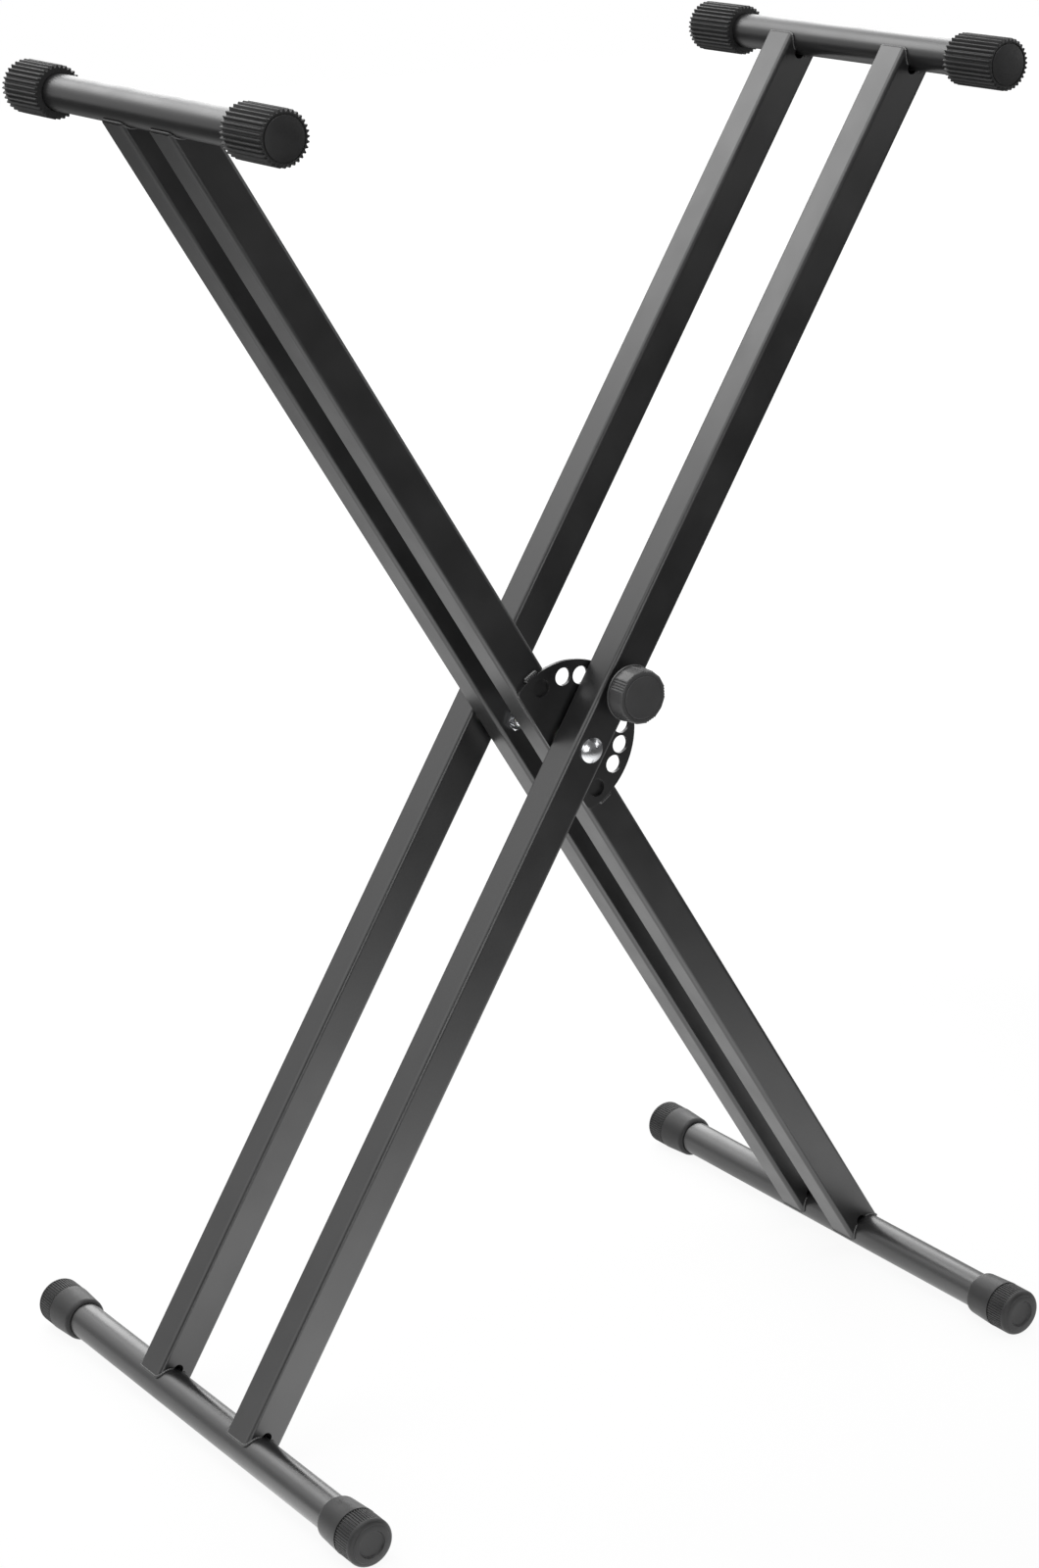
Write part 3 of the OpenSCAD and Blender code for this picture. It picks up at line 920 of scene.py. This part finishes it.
@dataclass
class FootCap(EndCap):
    """A rubber foot on the end of a foot bar: a smooth collar that widens, a knurl and a dished end."""

    bar = "foot"
    ribs = Ribs(count=56, height=0.9 * MM, root=1.6 * MM, tip=0.35 * MM, steps=8)
    collar_wall: float = 3.1 * MM
    collar_lip: float = 0.7 * MM
    lip_round: float = 4.5 * MM
    collar_length: float = 26.5 * MM
    knurl_drop: float = 0.2 * MM
    knurl_length: float = 16.0 * MM
    groove: float = 0.6 * MM
    edge_round: float = 3.5 * MM
    ring_height: float = 0.7 * MM
    ring_slope: float = 0.4 * MM
    ring_width: float = 4.3 * MM
    dish_depth: float = 1.6 * MM
    dish_slope: float = 1.6 * MM
    dish_steps: int = 6
    soft: float = 0.2 * MM

    def rings(self, cap: Bar, bar: float) -> list[Ring]:
        """The foot's rings; its widest radius is its axis's height, so that it stands on the floor."""
        return self.bore(cap, bar, self.soft) + self._sleeve(cap.z, bar) + self._end(cap.z, cap.length)

    def _sleeve(self, radius: float, bar: float) -> list[Ring]:
        """The rings from the foot's lip, over the collar, to the end of the knurl.

        Args:
            radius: The foot's widest radius.
            bar: The bar's radius.

        Returns:
            The rings in order.
        """
        collar = bar + self.collar_wall
        lip_turn = math.degrees(math.acos(1 - (self.collar_wall - self.collar_lip) / self.lip_round))
        lip_z = self.lip_round * math.sin(math.radians(lip_turn))
        valley = radius - self.knurl_drop - self.ribs.height
        knurl_end = self.collar_length + self.knurl_length
        return [
            Ring(0, bar + self.collar_lip - self.soft / 2),
            *arc_rings(lip_z, collar - self.lip_round, self.lip_round, -lip_turn + 1, 0, steps=12),
            Ring(self.collar_length - 3 * self.soft, radius - self.soft / 4),
            Ring(self.collar_length - self.soft, radius - self.soft / 4),
            Ring(self.collar_length, radius - self.soft),
            Ring(self.collar_length + self.soft / 2, valley - self.soft),
            Ring(self.collar_length + self.groove, valley - self.soft),
            Ring(self.collar_length + self.groove + self.soft, valley, 1.0),
            Ring(knurl_end - 2 * self.soft, valley, 1.0),
            Ring(knurl_end + self.soft, valley + self.ribs.height / 2, 0.5),
        ]

    def _end(self, radius: float, length: float) -> list[Ring]:
        """The rings from the rounded edge, over the raised ring, to the bottom of the dish.

        Args:
            radius: The foot's widest radius.
            length: The foot's length.

        Returns:
            The rings in order.
        """
        shoulder = length - self.ring_height
        ring_out = radius - self.knurl_drop - self.edge_round
        dish = ring_out - self.ring_width
        rings = [
            *arc_rings(shoulder - self.edge_round, ring_out, self.edge_round, 0, 90, steps=10),
            Ring(shoulder + self.soft / 2, ring_out - self.soft / 2),
            Ring(length - self.soft / 2, ring_out - self.ring_slope),
            Ring(length, ring_out - self.ring_slope - self.soft),
            Ring(length, dish + self.soft),
        ]
        for share in even_steps(0, 1, self.dish_steps):
            depth = self.dish_depth * (1 - (1 - share) ** 2)
            rings.append(Ring(length - depth, dish - self.dish_slope * share))
        return rings + [Ring(length - self.dish_depth, 0)]


@dataclass
class LockPlate(SubAssembly):
    """The quadrant plate with the row of lock holes, and its welds to the inner front leg."""

    edge: float = 0.5 * MM
    sharp: float = 40.0
    reach: float = 61.5 * MM
    end_bead_span: Pair = (-94.0, -82.0)
    end_bead_steps: int = 8
    end_bead_sunk: float = 0.5 * MM
    end_bead: WeldBead = WeldBead(radius=2.6 * MM, ripple=0.04)
    long_bead: WeldBead = WeldBead()
    long_bead_length: float = 24.0 * MM
    long_bead_at: tuple[float, ...] = (-34.0 * MM, 34.0 * MM)

    def build(self) -> None:
        """Makes the plate with soft edges, and its welds."""
        bm = merged_copy("lock_plate")
        hard = [edge for edge in bm.edges if edge.calc_face_angle(0) > math.radians(self.sharp)]
        bmesh.ops.bevel(
            bm, geom=hard, offset=self.edge, offset_type="OFFSET", segments=2, profile=0.5,
            affect="EDGES", clamp_overlap=True, material=-1,
        )
        plate = finished(bm, "lock_plate_blank")
        keep_flats_flat(plate)
        self.bench.hand_over(plate, Body.INNER, Slot.PAINT, "lock_plate")
        welds = finished(self._welds(), "lock_plate_weld", smooth_below=60.0)
        self.bench.hand_over(welds, Body.INNER, Slot.PAINT)

    def _welds(self) -> Mesh:
        """Short beads on the plate's two arc ends, and two long ones behind it along the leg's edge.

        Returns:
            The beads' mesh in the row frame.
        """
        axes = frame_axes("inner")
        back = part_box("lock_plate")[1].y
        bm = bmesh.new()
        for flip in (1, -1):
            seam = []
            for a in map(math.radians, even_steps(*self.end_bead_span, self.end_bead_steps)):
                x = self.reach * math.cos(a)
                seam.append(axes @ Vector((x, back - self.end_bead_sunk, flip * self.reach * math.sin(a))))
            self.end_bead.lay(bm, seam)
        leg_edge = max(across("inner", "inner_leg_front"))
        for middle in self.long_bead_at:
            ends = (middle - self.long_bead_length / 2, middle + self.long_bead_length / 2)
            self.long_bead.lay(bm, [axes @ Vector((leg_edge, back, z)) for z in ends])
        return bm


@dataclass
class Pivot(SubAssembly):
    """The two pivot bolts with their nuts, washers and sleeves."""

    insert_out: float = 4.9 * MM
    insert_in: float = 4.02 * MM
    insert_proud: float = 0.12 * MM
    insert_deep: float = 1.0 * MM
    insert_sides: int = 48

    def build(self) -> None:
        """Dresses the hardware and adds the nylon rings of the lock nuts."""
        self.bench.dress(Slot.NYLON, "pivot_washer_front", "pivot_spacer_rear")
        for side in Side:
            self.bench.dress(Slot.ZINC, f"pivot_bolt_{side.word}", f"pivot_nut_{side.word}")
            self.bench.dress(Slot.STEEL, f"outer_pivot_sleeve_{side.word}", f"inner_pivot_sleeve_{side.word}")
            self._insert(side)

    def _insert(self, side: Side) -> None:
        """Makes the nylon ring that shows in a lock nut's end.

        Args:
            side: The side of the nut.
        """
        low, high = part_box(f"pivot_nut_{side.word}")
        end = min(abs(low.y), abs(high.y))
        rings = [
            Ring(-self.insert_proud, self.insert_in + self.insert_proud),
            Ring(-self.insert_proud, self.insert_out - self.insert_proud),
            Ring(0, self.insert_out),
            Ring(self.insert_deep, self.insert_out),
            Ring(self.insert_deep, self.insert_in),
            Ring(0, self.insert_in),
            Ring(-self.insert_proud, self.insert_in + self.insert_proud),
        ]
        skin = RingForm(self.insert_sides).build(rings)
        place = outward(PIVOT.x, PIVOT.z, side, end)
        piece = finished(skin, f"pivot_nut_{side.word}_insert", place)
        self.bench.hand_over(piece, Body.OUTER, Slot.NYLON)


@dataclass
class Lock(SubAssembly):
    """The spring plunger: its housing and plug on the outer leg, the pin, the spring and the knob."""

    knob_repeats: int = 5
    knob_over_corners: float = 40.0 * MM
    ribbed_angle: float = 30.0
    knob_turn: float = 36.0
    knob_chamfer: float = 1.3 * MM
    corner_soft: float = 0.08 * MM
    flange_radius: float = 21.0 * MM
    flange: float = 1.3 * MM
    disc_radius: float = 15.8 * MM
    disc_rise: float = 0.5 * MM
    ribs_on_flat: int = 5
    rib_height: float = 0.5 * MM
    rib_slope: float = 1.6
    rib_at_face: float = 0.1
    stem_fit: float = 3.05 * MM
    stem_in: float = 10.0 * MM
    soft: float = 0.25 * MM
    segments: int = 480
    face_steps: int = 6
    wire: float = 1.2 * MM
    wire_sides: int = 8
    turns: float = 8.0
    coil_radius: float = 5.75 * MM
    spring_from: float = 63.3 * MM
    spring_to: float = 84.9 * MM
    steps_per_turn: int = 24
    spring_keep: float = 0.77

    def build(self) -> None:
        """Dresses the lock's plain parts and makes the knob and the spring."""
        self.bench.dress(Slot.PAINT, "lock_housing")
        self.bench.dress(Slot.STEEL, "lock_housing_plug")
        self.bench.dress(Slot.ZINC, "lock_pin")
        axis = Bar.of("lock_pin")
        self._knob(axis)
        self._spring(axis)

    def _knob(self, axis: Bar) -> None:
        """Makes the moulded knob, turned as it stands on the leaning leg.

        Args:
            axis: The pin that it sits on.
        """
        low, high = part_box("lock_knob")
        rings = self._knob_rings(high.y - low.y)
        skin = RingForm(self.segments, self._side_height).build(rings)
        turn = math.radians(self.knob_turn) - lean("outer")
        place = outward(axis.x, axis.z, Side.FRONT, -high.y) @ Matrix.Rotation(turn, 4, "Z")
        moulding = finished(skin, "lock_knob_moulding", place, smooth_below=15.0)
        self.bench.hand_over(moulding, Body.PLUNGER, Slot.PLASTIC, "lock_knob")

    @property
    def knob_inside(self) -> float:
        """Radius of the circle inside the knob's ribbed flats, which are its widest."""
        return self.knob_over_corners / 2 * math.cos(math.radians(self.ribbed_angle / 2))

    def _side_height(self, angle: float) -> float:
        """How far the knob's side stands out past the circle inside its ribbed flats, at one angle.

        Each repeat has one ribbed flat and two narrower plain ones, with all corners on one circle.

        Args:
            angle: The angle from the middle of a ribbed flat.

        Returns:
            The height there.
        """
        repeat = 2 * math.pi / self.knob_repeats
        off = abs((angle + repeat / 2) % repeat - repeat / 2)
        half = math.radians(self.ribbed_angle / 2)
        corner = self.knob_over_corners / 2
        if off > half:
            middle = (half + repeat / 2) / 2
            side = corner * math.cos(middle - half) / math.cos(off - middle)
            return min(side, corner - self.corner_soft) - self.knob_inside
        side = min(self.knob_inside / math.cos(off), corner - self.corner_soft)
        pitch = 2 * corner * math.sin(half) / self.ribs_on_flat
        wave = math.cos(2 * math.pi * self.knob_inside * math.tan(off) / pitch)
        return side - self.knob_inside + self.rib_height * smooth(0.5 + self.rib_slope * wave)

    def _knob_rings(self, length: float) -> list[Ring]:
        """The knob's rings, from the bottom of its bore, over its back, to the middle of its face.

        Args:
            length: The knob's length along its axis.

        Returns:
            The rings in order.
        """
        inside = self.knob_inside
        face = length - self.disc_rise
        inner = inside - self.knob_chamfer
        rings = [
            Ring(self.stem_in, 0),
            Ring(self.stem_in, self.stem_fit),
            Ring(0, self.stem_fit),
            Ring(0, self.flange_radius - self.soft),
            Ring(self.soft, self.flange_radius),
            Ring(self.flange - self.soft, self.flange_radius),
            Ring(self.flange, self.flange_radius - self.soft),
            Ring(self.flange, inside + self.soft / 2, 1.0),
            Ring(self.flange + self.soft, inside, 1.0),
        ]
        for degrees in even_steps(0, 90, self.face_steps):
            turn = math.radians(degrees)
            z = face - self.knob_chamfer * (1 - math.sin(turn))
            share = max(self.rib_at_face, math.cos(turn))
            rings.append(Ring(z, inner + self.knob_chamfer * math.cos(turn), share))
        return rings + [
            Ring(face, self.disc_radius + 2 * self.soft),
            Ring(face - self.soft, self.disc_radius + 1.5 * self.soft),
            Ring(face - self.soft, self.disc_radius + self.soft / 2),
            Ring(length - self.soft / 2, self.disc_radius),
            Ring(length, self.disc_radius - self.soft),
            Ring(length, 0),
        ]

    def _spring(self, axis: Bar) -> None:
        """Winds the compression spring with its end coils closed.

        Args:
            axis: The pin that it is wound round.
        """
        bm = bmesh.new()
        upright = Matrix.Rotation(math.radians(90), 4, "X")
        start = self.spring_from + self.wire / 2
        section = bmesh.ops.create_circle(
            bm, segments=self.wire_sides, radius=self.wire / 2, cap_ends=True,
            matrix=Matrix.Translation((self.coil_radius, 0, start)) @ upright,
        )["verts"]
        geom = section + list(bm.edges) + list(bm.faces)
        body_turns = self.turns - 2
        body_rise = self.spring_to - self.spring_from - 3 * self.wire
        for turns, rise in ((1.0, self.wire), (body_turns, body_rise), (1.0, self.wire)):
            steps = round(turns * self.steps_per_turn)
            geom = bmesh.ops.spin(
                bm, geom=geom, cent=(0, 0, 0), axis=(0, 0, 1), dvec=(0, 0, rise / steps),
                angle=2 * math.pi * turns, steps=steps, use_merge=False, use_duplicate=False,
            )["geom_last"]
        place = outward(axis.x, axis.z, Side.FRONT, 0.0)
        spring = finished(bm, "lock_spring_coil", place, smooth_below=60.0)
        self.bench.hand_over(spring, Body.OUTER, Slot.STEEL, "lock_spring")
        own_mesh(spring)


# The studio


@dataclass(frozen=True)
class SoftBox:
    """A square area lamp aimed at a point; the camera sees only its light."""

    name: str
    place: Triple
    aim: Triple
    size: float
    power: float

    def switch_on(self) -> None:
        """Adds the lamp to the scene."""
        data = bpy.data.lights.new(self.name, "AREA")
        data.shape = "SQUARE"
        data.size = self.size
        data.energy = self.power
        lamp = bpy.data.objects.new(self.name, data)
        lamp.location = self.place
        lamp.rotation_euler = (Vector(self.aim) - Vector(self.place)).to_track_quat("-Z", "Y").to_euler()
        lamp.visible_camera = False
        bpy.context.scene.collection.objects.link(lamp)


@dataclass(frozen=True)
class Viewpoint:
    """The photograph's camera, fitted to the outlines of the legs, bars and caps."""

    place: Triple = (-1.4046, -2.0484, 1.2611)
    yaw: float = 34.142
    pitch: float = 18.864
    roll: float = 0.78
    lens_mm: float = 80.55
    shift_x: float = 0.0041
    shift_y: float = 0.0301

    def set_up(self) -> None:
        """Adds the camera and makes it the scene's."""
        data = bpy.data.cameras.new("photo_view")
        data.lens = self.lens_mm
        data.sensor_width = 36.0
        data.shift_x = self.shift_x
        data.shift_y = self.shift_y
        camera = bpy.data.objects.new("photo_view", data)
        camera.matrix_world = (
            Matrix.Translation(self.place)
            @ Matrix.Rotation(math.radians(-self.yaw), 4, "Z")
            @ Matrix.Rotation(math.radians(90 - self.pitch), 4, "X")
            @ Matrix.Rotation(math.radians(-self.roll), 4, "Z")
        )
        bpy.context.scene.collection.objects.link(camera)
        bpy.context.scene.camera = camera


class Backdrop(Wiring):
    """The wiring of the floor or of the world, each a mix of two shaders by the kind of ray."""

    def __init__(self, tree: bpy.types.NodeTree) -> None:
        """Empties a node tree and keeps it."""
        super().__init__(tree)
        tree.nodes.clear()

    def ray(self, kind: str) -> Socket:
        """The socket that says whether a ray is of one kind."""
        return self.tree.nodes.new("ShaderNodeLightPath").outputs[kind]

    def sum(self, operation: str, first: object, second: object) -> Socket:
        """Adds a Math node, held between 0 and 1.

        Args:
            operation: The node's operation.
            first: A socket or a number.
            second: A socket or a number.

        Returns:
            The result's socket.
        """
        node = self.tree.nodes.new("ShaderNodeMath")
        node.operation = operation
        node.use_clamp = True
        return self.feed(node, {0: first, 1: second}).outputs[0]

    def measure(self, operation: str, vector: object, other: object = (0, 0, 0)) -> Socket:
        """Adds a Vector Math node that gives one number for a vector, alone or against another.

        Args:
            operation: The node's operation.
            vector: The vector's socket.
            other: The vector that it is measured against.

        Returns:
            The result's socket.
        """
        node = self.tree.nodes.new("ShaderNodeVectorMath")
        node.operation = operation
        return self.feed(node, {0: vector, 1: other}).outputs["Value"]

    def white(self, seen: object, mirrored: object) -> Socket:
        """How much of the plain white background each kind of ray sees.

        Args:
            seen: The share for the camera's rays, a socket or a number.
            mirrored: The share for reflected rays and for those that pass through glass.

        Returns:
            The share's socket.
        """
        straight = self.sum("MULTIPLY", self.ray("Is Camera Ray"), seen)
        bent = self.sum("ADD", self.ray("Is Glossy Ray"), self.ray("Is Transmission Ray"))
        return self.sum("ADD", straight, self.sum("MULTIPLY", bent, mirrored))

    def finish(self, kind: str, share: object, first: bpy.types.Node, second: bpy.types.Node) -> None:
        """Mixes two shaders by a share of the second and links the result to the output."""
        mix = self.add("ShaderNodeMixShader", {"Fac": share, 1: first.outputs[0], 2: second.outputs[0]})
        self.add(kind, {"Surface": mix.outputs[0]})


@dataclass
class Studio:
    """A white paper sweep under soft boxes; the room is white behind the stand and dim in front of it.

    Reflections see the paper as a round pool that is brighter in front of the stand, and a sky that is
    brighter overhead.
    """

    floor_size: float = 14.0
    paper: float = 0.6
    bare_floor: float = 0.12
    paper_middle: Pair = (0.0, 0.45)
    paper_reach: Pair = (1.5, 1.7)
    paper_edge: float = 0.74
    bright_paper: float = 1.08
    shadow_share: float = 0.15
    shadow_reach: Pair = (0.75, 1.4)
    pool_middle: Triple = (-0.2, 0.05, 0.0)
    pool_reach: Pair = (0.2, 1.25)
    pool_way: Triple = (0.15, 1.0, 0.0)
    pool_turn: Pair = (-0.25, 0.05)
    pool_gain: Pair = (1.7, 1.0)
    white_way: Triple = (-0.1, 0.85, 0.5)
    white_turn: Pair = (-0.35, 0.35)
    fill: Pair = (0.16, 0.8)
    sky_rise: Pair = (0.2, 0.5)
    sky_gain: Pair = (0.58, 1.35)
    lamps: tuple[SoftBox, ...] = (
        SoftBox("back_left", (-0.6, 1.9, 2.5), (0.1, 0.0, 0.7), 1.4, 11.0),
        SoftBox("back_right", (1.3, 2.4, 1.45), (0.0, 0.0, 0.8), 1.9, 30.0),
        SoftBox("overhead", (-0.5, -0.2, 3.0), (0.0, 0.0, 0.5), 1.6, 22.0),
        SoftBox("front_right", (2.6, -1.8, 1.1), (0.1, 0.0, 0.7), 1.0, 6.0),
        SoftBox("front_left", (-0.62, -2.1, 0.7), (0.0, 0.0, 0.5), 1.2, 9.0),
    )

    def set_up(self) -> None:
        """Adds the camera, the floor, the lamps and the world."""
        bpy.context.scene.view_settings.view_transform = "Standard"
        Viewpoint().set_up()
        self._floor()
        self._world()
        for lamp in self.lamps:
            lamp.switch_on()
        LOG.info("studio: %d lamps", len(self.lamps))

    def _floor(self) -> None:
        """A large floor with the paper sweep on it, which keeps the stand's shadow."""
        bm = bmesh.new()
        bmesh.ops.create_grid(bm, x_segments=1, y_segments=1, size=self.floor_size / 2)
        floor = finished(bm, "floor")
        material = bpy.data.materials.new("floor")
        material.use_nodes = True
        floor.data.materials.append(material)
        wires = Backdrop(material.node_tree)
        place = wires.tree.nodes.new("ShaderNodeTexCoord").outputs["Object"]
        scale = (1 / self.paper_reach[0], 1 / self.paper_reach[1], 1)
        shift = (*(-at / reach for at, reach in zip(self.paper_middle, self.paper_reach)), 0)
        sheet = wires.add("ShaderNodeMapping", {"Vector": place, "Scale": scale, "Location": shift})
        glow = wires.add("ShaderNodeTexGradient", {"Vector": sheet.outputs["Vector"]})
        glow.gradient_type = "SPHERICAL"
        paper = wires.span(glow.outputs["Fac"], 0.0, self.paper_edge, 0.0, 1.0)
        tint = wires.mix(paper, (*[self.bare_floor] * 3, 1), (*[self.paper] * 3, 1), "RGBA")
        away = wires.measure("LENGTH", place)
        seen = wires.span(away, *self.shadow_reach, 1 - self.shadow_share, 1.0)
        off_pool = wires.measure("DISTANCE", place, self.pool_middle)
        mirrored = wires.span(off_pool, *self.pool_reach, 1.0, 0.0)
        behind = wires.measure("DOT_PRODUCT", place, self.pool_way)
        gain = wires.span(behind, *self.pool_turn, *self.pool_gain)
        strength = wires.mix(wires.ray("Is Glossy Ray"), self.bright_paper, gain)
        wires.finish(
            "ShaderNodeOutputMaterial",
            wires.white(seen, mirrored),
            wires.add("ShaderNodeBsdfDiffuse", {"Color": tint}),
            wires.add("ShaderNodeEmission", {"Strength": strength}),
        )

    def _world(self) -> None:
        """White where the camera sees it and behind the stand, and a dimmer fill in front."""
        world = bpy.data.worlds.new("studio")
        bpy.context.scene.world = world
        world.use_nodes = True
        wires = Backdrop(world.node_tree)
        sky = wires.tree.nodes.new("ShaderNodeTexCoord").outputs["Generated"]
        back = wires.measure("DOT_PRODUCT", sky, self.white_way)
        white = wires.span(back, *self.white_turn, 0.0, 1.0)
        fill = wires.span(back, *self.white_turn, *self.fill)
        height = wires.add("ShaderNodeSeparateXYZ", {"Vector": sky}).outputs["Z"]
        gain = wires.span(height, *self.sky_rise, *self.sky_gain)
        bright = wires.mix(wires.ray("Is Glossy Ray"), 1.0, gain)
        backgrounds = [
            wires.add("ShaderNodeBackground", {"Color": (1, 1, 1, 1), "Strength": strength})
            for strength in (fill, bright)
        ]
        wires.finish("ShaderNodeOutputWorld", wires.white(1.0, white), *backgrounds)


def main() -> None:
    """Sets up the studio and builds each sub-assembly in turn."""
    logging.basicConfig(level=logging.INFO, format="%(name)s: %(message)s")
    Studio().set_up()
    bench = Bench()
    bench.mix_finishes()
    for member, body in (("outer", Body.OUTER), ("inner", Body.INNER)):
        CrossedFrame(bench, member, body).build()
        for side in Side:
            SupportCap(bench, member, body, side).build()
            FootCap(bench, member, body, side).build()
    LockPlate(bench).build()
    Pivot(bench).build()
    Lock(bench).build()


if __name__ == "__main__":
    main()
